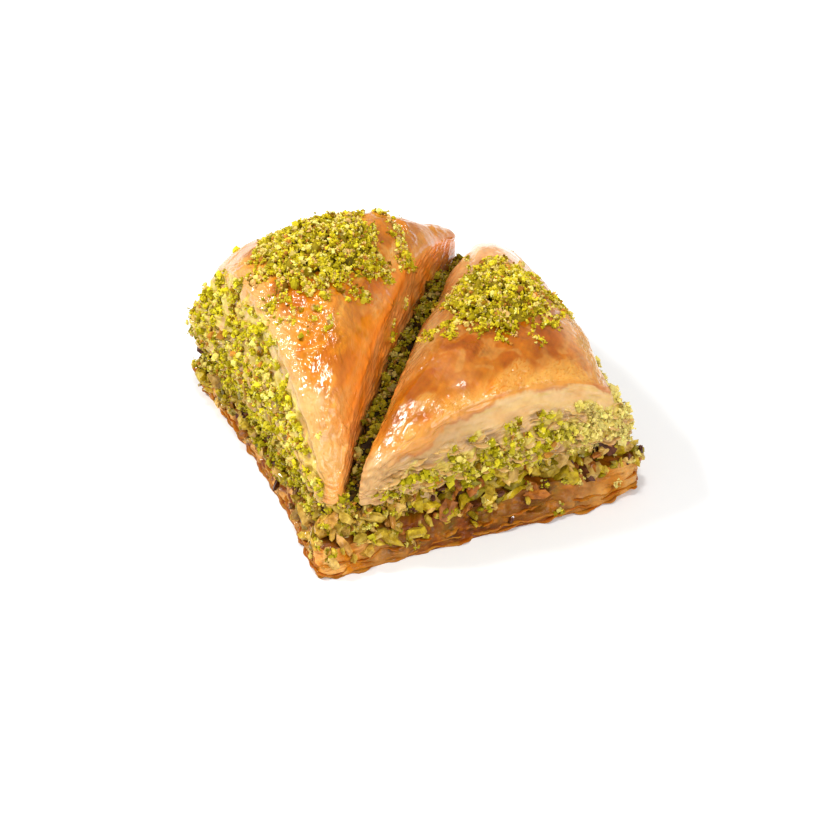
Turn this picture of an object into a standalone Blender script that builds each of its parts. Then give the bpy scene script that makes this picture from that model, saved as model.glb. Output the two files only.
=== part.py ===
"""A baklava piece: a square of pistachio baklava whose top is cut in two on the slant.

From the floor up it is a soaked base of pastry sheets, a layer of chopped pistachio, two domed
halves of top pastry with a cleft between them, a heap of ground pistachio on each half, and
ground pistachio lying in the cleft.  X runs along the near edge, Y along the left one, and the
origin is on the floor under the middle.

Every solid is a sphere of points drawn out to a food shape.  A point's turn round the sphere
says where it is on the outline, and its ring says whether it is on the underside, the side or
the top.
"""

import math

import bmesh
import bpy
import numpy as np
from mathutils import Vector
from mathutils.bvhtree import BVHTree

MM = 0.001
GAP = 0.3

# Overall plan of the base, which is the widest part
LENGTH_X, LENGTH_Y = 47.6, 45.6

# The seams that the layers lie on: height at the middle, and slope along X
FLOOR = (0.0, 0.0)
LOW_SEAM = (5.2, 0.040)
HIGH_SEAM = (9.5, -0.012)

# An outline goes anticlockwise from corner to corner.  Each corner gives its X and Y and its
# height (over the floor for a lip, over its seam for the rest), then the rise and the outward
# bow of the side that starts there, all in millimetres.
BASE_FOOT = ((-22.8, -22.0, 0.0, 0.0, -0.2), (22.4, -21.4, 0.0, 0.0, -0.6),
             (22.2, 21.6, 0.0, 0.0, -0.5), (-22.6, 21.8, 0.0, 0.0, -1.4))
BASE_RIM = ((-22.2, -21.4, 0.0, -0.5, -1.5), (23.2, -21.4, 0.0, -0.3, -1.5),
            (22.8, 22.2, 0.0, -0.5, -1.2), (-24.0, 23.0, 0.0, -0.8, -2.5))
FILLING_FOOT = ((-21.6, -20.8, 0.0, 0.0, -1.3), (22.5, -20.9, 0.0, 0.0, -1.3),
                (22.2, 21.6, 0.0, 0.0, -1.0), (-23.3, 22.4, 0.0, 0.0, -2.2))
FILLING_RIM = ((-20.6, -19.8, -0.4, 0.2, -0.6), (21.8, -20.8, -0.2, 0.2, -0.5),
               (21.6, 21.0, -0.2, 0.2, -0.5), (-23.3, 22.4, -0.2, 0.1, -1.1))
LEFT_FOOT = ((-21.0, -19.2, 0.0, 0.0, 0.0), (-18.4, -19.9, 0.0, 0.0, -1.3),
             (15.4, 21.2, 0.0, 0.0, 0.0), (-23.7, 22.5, 0.0, 0.0, -0.7))
LEFT_LIP = ((-20.2, -18.2, 12.4, 0.0, 0.0), (-18.2, -19.0, 11.6, 8.2, -1.4),
            (14.9, 20.4, 16.2, 5.2, 0.6), (-20.4, 21.4, 19.6, 7.4, -0.2))
RIGHT_FOOT = ((-17.0, -21.2, 0.0, 0.0, -0.1), (21.8, -21.0, 0.0, 0.0, -0.4),
              (21.4, 20.8, 0.0, 0.0, 0.0), (17.4, 20.8, 0.0, 0.0, -0.2))
RIGHT_LIP = ((-16.6, -20.8, 12.2, 6.2, 0.3), (19.8, -19.0, 15.8, 3.2, 0.2),
             (20.2, 19.6, 14.2, 0.0, 0.0), (17.0, 19.8, 14.6, 4.0, 0.0))
ARCH_POWER = 2.6

# The filling of the cleft: its ends, the height of its top there and the rise between them,
# its bow to the left, its half width at the ends and how much wider it is halfway
CUT_NEAR, CUT_FAR = np.array([-17.5, -20.4]), np.array([16.2, 20.2])
CUT_TOPS, CUT_RISE, CUT_BOW = (11.0, 14.2), 3.0, -0.55
CUT_HALF, CUT_SWELL = 0.46, 0.72

# Each dome: its peak's X, Y and height, and how squarely it falls to the lip
LEFT_DOME = (-8.0, 9.4, 27.8, 2.2)
RIGHT_DOME = (8.6, -4.2, 24.2, 2.3)

# The heaps of ground pistachio: middle, long and short half width, turn, thickness
HEAP_LEFT = (-9.0, 10.4, 9.8, 8.2, 0.75, 1.4)
HEAP_RIGHT = (10.2, -3.8, 8.2, 6.8, 0.75, 1.4)

# How far corners are rounded off, and how far sides wave in and out
SQUARE_ROUND, TIP_ROUND = 2.4, 1.4
PASTRY_WAVE, NUT_WAVE, LEAF_SWELL = 0.25, 0.35, 0.45

# A half's side stands upright from its foot and leans in more and more toward the lip
LEAN_POWER = 1.7

# Corners of the base that curl up off the floor: place, height and reach
CURLS = ((22.8, -21.4, 1.2, 4.0), (-22.8, -22.0, 0.4, 2.5), (-23.0, 22.2, 0.7, 3.0))

# The fold across the left crust, from end to end, its width and depth
FOLD_FROM, FOLD_TO = np.array([1.6, 17.2]), np.array([2.6, 5.2])
FOLD_WIDTH, FOLD_DEPTH = 1.5, 0.8

# Rings of points on the underside, the side and the top
SLAB_RINGS, HALF_RINGS, HEAP_RINGS = (2, 4, 3), (3, 6, 9), (3, 1, 5)

COLOURS = {
    "base_pastry": (0.45, 0.22, 0.06),
    "nut_filling": (0.24, 0.19, 0.04),
    "top_pastry_left": (0.76, 0.32, 0.06),
    "top_pastry_right": (0.76, 0.32, 0.06),
    "pistachio_heap_left": (0.45, 0.40, 0.03),
    "pistachio_heap_right": (0.45, 0.40, 0.03),
    "pistachio_in_cut": (0.20, 0.15, 0.02),
}


def side_lengths(corners):
    """The straight length of each side on the plan."""
    starts = np.array(corners)[:, :2]
    return np.linalg.norm(np.roll(starts, -1, axis=0) - starts, axis=1)


def walk(corners, lengths, turn):
    """The point a given part of the way round, with each side's rise and bow added."""
    starts = np.array(corners)
    steps = np.roll(starts, -1, axis=0) - starts
    paces = np.cumsum(lengths)
    way = (turn % 1.0) * paces[-1]
    side = np.searchsorted(paces, way, side="right").clip(max=len(lengths) - 1)
    part = 1.0 - (paces[side] - way) / lengths[side]
    out = np.stack([steps[:, 1], -steps[:, 0]], axis=1) / side_lengths(corners)[:, None]
    arch = 1.0 - np.abs(2.0 * part - 1.0) ** ARCH_POWER
    points = starts[side, :3] + steps[side, :3] * part[:, None]
    points[:, :2] += out[side] * (starts[side, 4] * arch)[:, None]
    points[:, 2] += starts[side, 3] * arch
    return points


def outline(corners, lengths, turn, rounding):
    """The walk with its corners rounded off, by averaging a stretch each side of every point."""
    stretch = np.linspace(-rounding, rounding, 13) / lengths.sum()
    return np.mean([walk(corners, lengths, turn + step) for step in stretch], axis=0)


def food_sphere(turns, rings):
    """A sphere of points with, for each, its turn, and its place in the under, side and top."""
    under, side, over = rings
    mesh = bmesh.new()
    bmesh.ops.create_uvsphere(mesh, u_segments=turns, v_segments=under + side + over, radius=1.0)
    places = np.array([vertex.co[:] for vertex in mesh.verts])
    turn = np.arctan2(places[:, 1], places[:, 0]) / (2.0 * math.pi)
    level = (0.5 + np.arcsin(places[:, 2].clip(-1.0, 1.0)) / math.pi) * (under + side + over)
    below = (level / under).clip(0.0, 1.0)
    beside = ((level - under) / side).clip(0.0, 1.0)
    above = ((under + side + over - level) / over).clip(0.0, 1.0)
    return mesh, turn, below, beside, above


def draw_out(foot, rim, middle, rounding, lean, sphere):
    """The points' places on the plan, with the height that the rim has at each point's turn."""
    _, turn, below, beside, above = sphere
    low = outline(foot, side_lengths(foot), turn, rounding)
    high = outline(rim, side_lengths(foot), turn, rounding)
    points = low + (high - low) * (beside ** lean)[:, None]
    points[:, :2] = middle + (points[:, :2] - middle) * np.minimum(below, above)[:, None]
    points[:, 2] = high[:, 2]
    return points


def seam_height(seam, points):
    """The height of a seam under or over each point."""
    return seam[0] + seam[1] * points[:, 0]


def push_out(points, middle, amount):
    """Moves points on the plan away from the middle."""
    away = points[:, :2] - middle
    reach = np.linalg.norm(away, axis=1).clip(0.001)
    points[:, :2] += away * (amount / reach)[:, None]


def add_part(name, mesh, points, collection):
    """Moves the sphere's points to their places and puts the solid in the collection."""
    for vertex, point in zip(mesh.verts, points * MM):
        vertex.co = point
    data = bpy.data.meshes.new(name)
    mesh.to_mesh(data)
    tree = BVHTree.FromBMesh(mesh)
    mesh.free()
    material = bpy.data.materials.new(name)
    material.use_nodes = True
    shader = material.node_tree.nodes["Principled BSDF"]
    shader.inputs["Base Color"].default_value = (*COLOURS[name], 1.0)
    shader.inputs["Roughness"].default_value = 0.4
    data.materials.append(material)
    collection.objects.link(bpy.data.objects.new(name, data))
    return tree


def slab_points(foot, rim, under, over, wave, sphere):
    """A flat layer between two seams, with sides that wave and a rim that may sag."""
    _, turn, _, beside, above = sphere
    points = draw_out(foot, rim, (0.0, 0.0), SQUARE_ROUND, 1.0, sphere)
    slant = np.sin(2.0 * math.pi * 11.0 * turn + 4.0 * beside)
    slant += np.sin(2.0 * math.pi * 19.0 * turn - 7.0 * beside)
    push_out(points, (0.0, 0.0), 0.5 * wave * slant * np.sin(math.pi * beside))
    low = seam_height(under, points)
    high = seam_height(over, points) - GAP + points[:, 2] * above ** 8.0
    points[:, 2] = low + (high - low) * beside
    return points


def base_part(collection):
    """The base of soaked sheets, with corners that curl up and sides that pull in."""
    sphere = food_sphere(64, SLAB_RINGS)
    points = slab_points(BASE_FOOT, BASE_RIM, FLOOR, LOW_SEAM, PASTRY_WAVE, sphere)
    for place_x, place_y, height, reach in CURLS:
        away = np.hypot(points[:, 0] - place_x, points[:, 1] - place_y) / reach
        points[:, 2] += height * np.exp(-away ** 2) * (1.0 - sphere[3])
    low, high = points[:, :2].min(axis=0), points[:, :2].max(axis=0)
    points[:, :2] -= (low + high) / 2.0
    points[:, :2] *= np.array([LENGTH_X, LENGTH_Y]) / (high - low)
    add_part("base_pastry", sphere[0], points, collection)


def filling_part(collection):
    """The layer of chopped pistachio, uneven at its sides."""
    sphere = food_sphere(64, SLAB_RINGS)
    points = slab_points(FILLING_FOOT, FILLING_RIM, LOW_SEAM, HIGH_SEAM, NUT_WAVE, sphere)
    add_part("nut_filling", sphere[0], points, collection)


def domed_points(foot, lip, dome, rounding, lean, sphere):
    """Points with an underside on the high seam, a side, and a dome that falls to the lip."""
    _, _, _, beside, above = sphere
    points = draw_out(foot, lip, dome[:2], rounding, lean, sphere)
    low = seam_height(HIGH_SEAM, points)
    crown = dome[2] - (dome[2] - points[:, 2]) * above ** dome[3]
    points[:, 2] = low + (crown - low) * beside
    return points


def half_part(name, foot, lip, dome, fold, collection):
    """A half of the top: leaves that stand out low on its side, a lip, and a domed crust."""
    sphere = food_sphere(72, HALF_RINGS)
    points = domed_points(foot, lip, dome, TIP_ROUND, LEAN_POWER, sphere)
    cut = CUT_FAR - CUT_NEAR
    across = np.array([cut[1], -cut[0]]) / np.linalg.norm(cut)
    from_cut = np.abs((points[:, :2] - CUT_NEAR) @ across)
    swell = LEAF_SWELL * np.sin(2.0 * math.pi * sphere[3])
    push_out(points, dome[:2], swell * ((from_cut - 1.8) / 3.0).clip(0.0, 1.0))
    line = FOLD_TO - FOLD_FROM
    part = ((points[:, :2] - FOLD_FROM) @ line / (line @ line)).clip(0.0, 1.0)
    from_fold = np.linalg.norm(points[:, :2] - FOLD_FROM - part[:, None] * line, axis=1)
    points[:, 2] -= fold * np.exp(-(from_fold / FOLD_WIDTH) ** 2) * (sphere[4] < 1.0)
    return add_part(name, sphere[0], points, collection)


def heap_part(name, heap, crust, collection):
    """A heap with an uneven outline, dropped onto the crust so that it follows the dome."""
    middle_x, middle_y, long, short, slant, thickness = heap
    sphere = food_sphere(40, HEAP_RINGS)
    _, turn, below, beside, above = sphere
    angle = 2.0 * math.pi * turn
    uneven = 1.0 + 0.08 * np.sin(3.0 * angle + 1.0) + 0.05 * np.sin(7.0 * angle)
    size = uneven * np.minimum(below, above)
    along, across = long * size * np.cos(angle), short * size * np.sin(angle)
    points = np.zeros((len(turn), 3))
    points[:, 0] = middle_x + along * math.cos(slant) - across * math.sin(slant)
    points[:, 1] = middle_y + along * math.sin(slant) + across * math.cos(slant)
    depth = GAP + beside * (0.3 + (thickness - 0.3) * (1.0 - above ** 2.2))
    for point, height in zip(points, depth):
        over = Vector((point[0] * MM, point[1] * MM, 0.1))
        point[2] = crust.ray_cast(over, Vector((0.0, 0.0, -1.0)))[0].z / MM + height
    add_part(name, sphere[0], points, collection)


def cut_part(collection):
    """Ground pistachio in the cleft: a sphere with its poles at the cleft's two ends."""
    mesh = bmesh.new()
    bmesh.ops.create_uvsphere(mesh, u_segments=10, v_segments=28, radius=1.0)
    places = np.array([vertex.co[:] for vertex in mesh.verts])
    along = 0.5 + np.arcsin(places[:, 2].clip(-1.0, 1.0)) / math.pi
    around = np.arctan2(places[:, 1], places[:, 0])
    end = np.sqrt(1.0 - np.abs(2.0 * along - 1.0) ** 6.0)
    arch = 1.0 - (2.0 * along - 1.0) ** 2
    cut = CUT_FAR - CUT_NEAR
    across = np.array([cut[1], -cut[0]]) / np.linalg.norm(cut)
    aside = np.sign(np.cos(around)) * np.abs(np.cos(around)) ** 0.6
    half = (CUT_HALF + CUT_SWELL * arch) * end * aside
    points = np.zeros((len(along), 3))
    points[:, :2] = CUT_NEAR + along[:, None] * cut + (CUT_BOW * arch - half)[:, None] * across
    low = seam_height(HIGH_SEAM, points) + GAP
    high = CUT_TOPS[0] + (CUT_TOPS[1] - CUT_TOPS[0]) * along + CUT_RISE * arch
    up = 0.5 + 0.5 * end * np.sign(np.sin(around)) * np.abs(np.sin(around)) ** 0.6
    points[:, 2] = low + (high - low) * up
    add_part("pistachio_in_cut", mesh, points, collection)


for leftover in list(bpy.data.objects):
    bpy.data.objects.remove(leftover)
piece = bpy.data.collections.new("baklava_piece")
bpy.context.scene.collection.children.link(piece)
base_part(piece)
filling_part(piece)
left_crust = half_part("top_pastry_left", LEFT_FOOT, LEFT_LIP, LEFT_DOME, FOLD_DEPTH, piece)
right_crust = half_part("top_pastry_right", RIGHT_FOOT, RIGHT_LIP, RIGHT_DOME, 0.0, piece)
heap_part("pistachio_heap_left", HEAP_LEFT, left_crust, piece)
heap_part("pistachio_heap_right", HEAP_RIGHT, right_crust, piece)
cut_part(piece)
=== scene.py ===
"""Looks for a square piece of pistachio baklava, cut in two on the slant.

Lengths in the shape functions are millimetres.  Each food surface is a grid: one way round the
outline, the other up from the foot, over the lip and in to the peak.  Leaves, chopped nuts and
ground pistachio are laid on those grids.
"""

import math

import bmesh
import bpy
import numpy as np
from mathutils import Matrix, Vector


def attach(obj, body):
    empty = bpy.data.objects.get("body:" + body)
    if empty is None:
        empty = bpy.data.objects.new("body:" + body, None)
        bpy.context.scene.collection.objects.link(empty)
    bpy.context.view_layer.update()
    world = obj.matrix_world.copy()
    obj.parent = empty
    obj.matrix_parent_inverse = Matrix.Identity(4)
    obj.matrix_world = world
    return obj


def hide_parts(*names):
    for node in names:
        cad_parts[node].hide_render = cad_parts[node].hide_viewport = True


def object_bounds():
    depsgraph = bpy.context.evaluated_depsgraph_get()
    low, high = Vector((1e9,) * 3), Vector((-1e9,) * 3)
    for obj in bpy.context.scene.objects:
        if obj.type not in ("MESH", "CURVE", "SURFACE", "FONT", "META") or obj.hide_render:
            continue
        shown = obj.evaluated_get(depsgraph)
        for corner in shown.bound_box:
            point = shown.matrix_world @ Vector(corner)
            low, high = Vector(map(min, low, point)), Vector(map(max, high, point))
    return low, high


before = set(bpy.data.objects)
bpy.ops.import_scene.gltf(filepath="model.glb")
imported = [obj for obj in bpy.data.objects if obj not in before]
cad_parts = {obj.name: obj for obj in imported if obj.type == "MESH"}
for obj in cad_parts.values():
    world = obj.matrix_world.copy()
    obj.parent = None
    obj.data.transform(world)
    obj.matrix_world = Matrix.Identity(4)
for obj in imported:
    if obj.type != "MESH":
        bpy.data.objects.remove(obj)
cad_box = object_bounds()
MM = 0.001
# How far grains, nuts and loose leaves may reach: a little past the solids' box at the sides and top
SIDE_REACH, TOP_REACH = 0.6, 0.5
LOWEST = np.array(cad_box[0]) / MM - np.array([SIDE_REACH, SIDE_REACH, 0.0])
HIGHEST = np.array(cad_box[1]) / MM + np.array([SIDE_REACH, SIDE_REACH, TOP_REACH])

# ---------------------------------------------------------------- sizes shared with the solids

# Seams between the layers: the height in the middle and the slope along X
LOW_SEAM, HIGH_SEAM = (5.2, 0.040), (9.5, -0.012)
GAP = 0.3
NEAR_CORNER = (-22.0, -21.0)
# The underside of every grid: how far out each of its rows lies, from the middle to the foot
UNDER_REACH = np.array([0.05, 0.5, 0.9])[:, None, None]
UNDER_ROWS = len(UNDER_REACH)
ARCH_POWER, LEAN_POWER, HEAP_POWER = 2.6, 1.7, 2.2
SQUARE_ROUND, TIP_ROUND = 2.4, 1.4
LENGTH_X, LENGTH_Y, HALF_LENGTH = 47.6, 45.6, 22.0
BASE_INSET = 0.6

# The corners of each outline: X, Y, height, and the rise and outward bow of the side that follows
BASE_FOOT = ((-22.8, -22.0, 0.0, 0.0, -0.2), (22.4, -21.4, 0.0, 0.0, -0.6),
             (22.2, 21.6, 0.0, 0.0, -0.5), (-22.6, 21.8, 0.0, 0.0, -1.4))
BASE_RIM = ((-22.2, -21.4, 0.0, -0.5, -1.5), (23.2, -21.4, 0.0, -0.3, -1.5),
            (22.8, 22.2, 0.0, -0.5, -1.2), (-24.0, 23.0, 0.0, -0.8, -2.5))
FILLING_FOOT = ((-21.6, -20.8, 0.0, 0.0, -1.3), (22.5, -20.9, 0.0, 0.0, -1.3),
                (22.2, 21.6, 0.0, 0.0, -1.0), (-23.3, 22.4, 0.0, 0.0, -2.2))
FILLING_RIM = ((-20.6, -19.8, -0.4, 0.2, -0.6), (21.8, -20.8, -0.2, 0.2, -0.5),
               (21.6, 21.0, -0.2, 0.2, -0.5), (-23.3, 22.4, -0.2, 0.1, -1.1))
# Each half also has a dome: its peak's X, Y and height, and the power of its slope
LEFT = {
    "foot": ((-21.0, -19.2, 0.0, 0.0, 0.0), (-18.4, -19.9, 0.0, 0.0, -1.3),
             (15.4, 21.2, 0.0, 0.0, 0.0), (-23.7, 22.5, 0.0, 0.0, -0.7)),
    "lip": ((-20.2, -18.2, 12.4, 0.0, 0.0), (-18.2, -19.0, 11.6, 8.2, -1.4),
            (14.9, 20.4, 16.2, 5.2, 0.6), (-20.4, 21.4, 19.6, 7.4, -0.2)),
    "dome": (-8.0, 9.4, 27.8, 2.2),
}
RIGHT = {
    "foot": ((-17.0, -21.2, 0.0, 0.0, -0.1), (21.8, -21.0, 0.0, 0.0, -0.4),
             (21.4, 20.8, 0.0, 0.0, 0.0), (17.4, 20.8, 0.0, 0.0, -0.2)),
    "lip": ((-16.6, -20.8, 12.2, 6.2, 0.3), (19.8, -19.0, 15.8, 3.2, 0.2),
            (20.2, 19.6, 14.2, 0.0, 0.0), (17.0, 19.8, 14.6, 4.0, 0.0)),
    "dome": (8.6, -4.2, 24.2, 2.3),
}
# Curled corners of the base: X, Y, height and radius
CURLS = ((22.8, -21.4, 1.2, 4.0), (-22.8, -22.0, 0.4, 2.5), (-23.0, 22.2, 0.7, 3.0))
# Heaps: the middle's X and Y, the half lengths, the slant and the thickness
HEAP_LEFT = (-9.0, 10.4, 9.8, 8.2, 0.75, 1.4)
HEAP_RIGHT = (10.2, -3.8, 8.2, 6.8, 0.75, 1.4)
# The cleft: its ends, and its filling's height at both, arch, bow, half width and swell
CUT_NEAR, CUT_FAR = np.array([-17.5, -20.4]), np.array([16.2, 20.2])
CUT_TOPS, CUT_RISE, CUT_BOW = (11.0, 14.2), 3.0, -0.55
CUT_HALF, CUT_SWELL = 0.46, 0.72


# ---------------------------------------------------------------- numbers


def colour(red, green, blue):
    """A screen colour of 0 to 255 a channel, as linear light."""
    channel = np.array([red, green, blue]) / 255.0
    return np.where(channel <= 0.04045, channel / 12.92, ((channel + 0.055) / 1.055) ** 2.4)


def step(low, high, value):
    """0 below low, 1 above high, and a smooth S between them."""
    part = np.clip((value - low) / (high - low), 0.0, 1.0)
    return part * part * (3.0 - 2.0 * part)


def ripple(points, size, seed, waves=14):
    """Smooth noise of about -2 to 2: a sum of sine waves of that size in seeded directions."""
    rng = np.random.default_rng(seed)
    ways = rng.normal(size=(waves, points.shape[-1]))
    ways /= np.linalg.norm(ways, axis=1)[:, None]
    ways *= (2.0 * math.pi / size * rng.uniform(0.55, 1.5, waves))[:, None]
    phases = rng.uniform(0.0, 2.0 * math.pi, waves)
    return np.sin(points @ ways.T + phases).sum(axis=-1) / math.sqrt(waves / 2.0)


def wave(turns):
    """A wave from 0 to 1 that comes back once a turn."""
    return 0.5 + 0.5 * np.sin(2.0 * math.pi * turns)


def crease(points, size, seed):
    """Sharp-crested noise from 0 to 1: high along the lines where a ripple crosses zero."""
    return 1.0 / (1.0 + (2.2 * ripple(points, size, seed)) ** 2)


def paired(first, second):
    """Two arrays as the coordinates of points."""
    return np.stack([first, second], axis=-1)


def mottle(points, size, seed, middle=0.5, spread=0.5):
    """Soft patches from 0 to 1: the middle plus that spread of a ripple."""
    return (middle + spread * ripple(points, size, seed)).clip(0.0, 1.0)


def blend(first, second, amount):
    """A colour that goes from the first to the second."""
    amount = np.asarray(amount)[..., None]
    return first * (1.0 - amount) + second * amount


def coated(tint, *coats):
    """A colour under coats of others: each coat is a colour and how much of it shows."""
    for coat, amount in coats:
        tint = blend(tint, coat, amount)
    return tint


def from_spot(points, x, y):
    """The distance on the plan from a spot to each point."""
    return np.hypot(points[..., 0] - x, points[..., 1] - y)


# ---------------------------------------------------------------- outlines


def side_lengths(corners):
    """The straight length of each side on the plan."""
    starts = np.array(corners)[:, :2]
    return np.linalg.norm(np.roll(starts, -1, axis=0) - starts, axis=1)


def walk(corners, lengths, turn):
    """The point a given part of the way round.

    Each side is a straight run plus its rise and its outward bow times an arch,
    1 - |2t - 1| ^ power.
    """
    starts = np.array(corners)
    steps = np.roll(starts, -1, axis=0) - starts
    paces = np.cumsum(lengths)
    way = (turn % 1.0) * paces[-1]
    side = np.searchsorted(paces, way, side="right").clip(max=len(lengths) - 1)
    part = 1.0 - (paces[side] - way) / lengths[side]
    out = np.stack([steps[:, 1], -steps[:, 0]], axis=1) / side_lengths(corners)[:, None]
    arch = 1.0 - np.abs(2.0 * part - 1.0) ** ARCH_POWER
    points = starts[side, :3] + steps[side, :3] * part[:, None]
    points[:, :2] += out[side] * (starts[side, 4] * arch)[:, None]
    points[:, 2] += starts[side, 3] * arch
    return points


def outline(corners, lengths, turn, rounding):
    """The walk with its corners rounded off, by averaging a stretch each side of every point."""
    stretch = np.linspace(-rounding, rounding, 13) / lengths.sum()
    return np.mean([walk(corners, lengths, turn + move) for move in stretch], axis=0)


def seam_height(seam, plan):
    """The height of a seam under or over each point."""
    return seam[0] + seam[1] * plan[..., 0]


def to_right(line):
    """The direction on the plan that points squarely to the right of a line."""
    return np.array([line[1], -line[0]]) / np.linalg.norm(line)


def cut_distance(points):
    """How far each point is from the middle line of the cleft, positive on the right half."""
    return (points[..., :2] - CUT_NEAR) @ to_right(CUT_FAR - CUT_NEAR)


def to_near_tip(points):
    """How far each point is from the middle toward the near corner, where both halves end in a tip."""
    return -(points[..., 0] + points[..., 1]) * 0.7071


# ---------------------------------------------------------------- finishes and meshes


class Number:
    """A number in a finish: arithmetic on it adds Math nodes."""

    def __init__(self, finish, socket):
        self.finish, self.socket = finish, socket

    def _with(self, operation, first, second):
        made = self.finish.node("ShaderNodeMath", {"operation": operation}, [first, second])
        return Number(self.finish, made.outputs[0])

    def __add__(self, other):
        return self._with("ADD", self, other)

    def __sub__(self, other):
        return self._with("SUBTRACT", self, other)

    def __rsub__(self, other):
        return self._with("SUBTRACT", other, self)

    def __mul__(self, other):
        return self._with("MULTIPLY", self, other)

    __radd__, __rmul__ = __add__, __mul__


class Finish:
    """A material: a Principled shader whose even values are set on its own sockets."""

    def __init__(self, name, **even):
        self.material = bpy.data.materials.new(name)
        self.material.use_nodes = True
        self.tree = self.material.node_tree
        self.shader = self.tree.nodes["Principled BSDF"]
        for socket, value in even.items():
            self.shader.inputs[socket.replace("_", " ")].default_value = value

    def node(self, kind, settings, sockets):
        """Adds a node: its settings first, then a value or a link for each named socket."""
        made = self.tree.nodes.new(kind)
        for name, value in settings.items():
            setattr(made, name, value)
        for name, value in enumerate(sockets) if isinstance(sockets, list) else sockets.items():
            value = value.socket if isinstance(value, Number) else value
            if isinstance(value, bpy.types.NodeSocket):
                self.tree.links.new(value, made.inputs[name])
            else:
                made.inputs[name].default_value = value
        return made

    def number(self, node, output=0):
        """A node's output as a number."""
        return Number(self, node.outputs[output])

    def noise(self, size, detail=2.0, stretch=(1.0, 1.0, 1.0)):
        """Noise of that size in millimetres on the piece's own coordinates."""
        place = self.node("ShaderNodeTexCoord", {}, {}).outputs["Object"]
        mapped = self.node("ShaderNodeMapping", {}, {"Vector": place, "Scale": stretch}).outputs[0]
        made = self.node("ShaderNodeTexNoise", {}, {"Vector": mapped, "Scale": 1.0 / (size * MM),
                                                   "Detail": detail})
        return self.number(made)

    def attribute(self, name):
        """A number painted on the piece."""
        return self.number(self.node("ShaderNodeAttribute", {"attribute_name": name}, {}), 2)

    def link(self, value, socket):
        """Feeds a value into one of the shader's sockets."""
        value = value.socket if isinstance(value, Number) else value
        self.tree.links.new(value, self.shader.inputs[socket])

    def tinted(self, speckle, size, amount):
        """Base colour from the painted tint, lightened and darkened by noise."""
        tint = self.node("ShaderNodeAttribute", {"attribute_name": "tint"}, {}).outputs["Color"]
        dark = self.node("ShaderNodeMix", {"data_type": "RGBA", "blend_type": "MULTIPLY"},
                         {0: 1.0, 6: tint, 7: (*speckle, 1.0)}).outputs[2]
        how = self.noise(size, 3.0) * (2.0 * amount) - (amount - 0.5)
        clean = self.node("ShaderNodeClamp", {}, {"Value": how}).outputs[0]
        mixed = self.node("ShaderNodeMix", {"data_type": "RGBA"}, {0: clean, 6: tint, 7: dark})
        self.link(mixed.outputs[2], "Base Color")

    def bumps(self, height, depth):
        """Small bumps of that depth in millimetres, from a height of 0 to 1."""
        made = self.node("ShaderNodeBump", {}, {"Height": height, "Strength": 1.0,
                                               "Distance": depth * MM})
        self.link(made.outputs[0], "Normal")


def pastry_finish(name, shine, glaze):
    """Baked leaves under syrup: glossier where it is wet, more wrinkled where it is rough."""
    made = Finish(name, IOR=1.45, Specular_IOR_Level=shine, Coat_Roughness=0.05, Coat_IOR=1.45,
                  Subsurface_Weight=0.2, Subsurface_Radius=(1.0, 0.45, 0.15), Subsurface_Scale=1.0 * MM)
    made.tinted((0.86, 0.72, 0.50), 0.9, 0.6)
    wet, rough = made.attribute("wet"), made.attribute("rough")
    made.link(wet * glaze, "Coat Weight")
    made.link(0.60 - wet * 0.48, "Roughness")
    wrinkles = made.noise(2.2, 3.0) * 0.45 + made.noise(0.6, 3.0, (1.0, 0.6, 1.0)) * 0.55
    made.bumps(wrinkles * (rough * 0.94 + 0.06), 0.26)
    return made


crust_finish = pastry_finish("glazed_pastry", shine=0.38, glaze=0.5)
base_finish = pastry_finish("soaked_pastry", shine=0.14, glaze=0.22)

nut_finish = Finish("syrupy_nut", Roughness=0.35, Coat_Weight=0.35, Coat_Roughness=0.07,
                    Specular_IOR_Level=0.15, Subsurface_Weight=0.15,
                    Subsurface_Radius=(0.8, 0.7, 0.2), Subsurface_Scale=0.8 * MM)
nut_finish.tinted((0.46, 0.38, 0.22), 0.8, 1.3)
nut_finish.bumps(nut_finish.noise(0.5, 3.0), 0.14)

grain_finish = Finish("ground_pistachio", Roughness=0.6, Specular_IOR_Level=0.1, Subsurface_Weight=0.12,
                      Subsurface_Radius=(0.8, 0.8, 0.2), Subsurface_Scale=0.5 * MM)
grain_finish.tinted((0.66, 0.66, 0.40), 0.4, 0.8)
grain_finish.bumps(grain_finish.noise(0.2, 2.0), 0.05)


def solid(name, points, faces, finish, smooth=True, **painted):
    """A mesh object from points in millimetres and arrays of 3 or 4 cornered faces."""
    mesh = bpy.data.meshes.new(name)
    corners = np.concatenate([part.ravel() for part in faces])
    counts = np.concatenate([np.full(len(part), part.shape[1]) for part in faces])
    mesh.vertices.add(len(points))
    mesh.vertices.foreach_set("co", (points * MM).astype(np.float32).ravel())
    mesh.loops.add(len(corners))
    mesh.loops.foreach_set("vertex_index", corners.astype(np.int32))
    mesh.polygons.add(len(counts))
    mesh.polygons.foreach_set("loop_start", (np.cumsum(counts) - counts).astype(np.int32))
    mesh.update(calc_edges=True)
    mesh.polygons.foreach_set("use_smooth", np.full(len(counts), smooth))
    for label, values in painted.items():
        kind = "FLOAT_COLOR" if values.ndim == 2 else "FLOAT"
        layer = mesh.attributes.new(label, kind, "POINT")
        if values.ndim == 2:
            values = np.concatenate([values, np.ones((len(values), 1))], axis=1)
            layer.data.foreach_set("color", values.astype(np.float32).ravel())
        else:
            layer.data.foreach_set("value", values.astype(np.float32))
    mesh.materials.append(finish.material)
    made = bpy.data.objects.new(name, mesh)
    bpy.context.scene.collection.objects.link(made)
    return made


def settle(made, node, replaces=False):
    """Puts a piece on the body, and hides the node's part where the piece replaces it."""
    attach(made, "root")
    if replaces:
        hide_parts(node)
    return made


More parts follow.
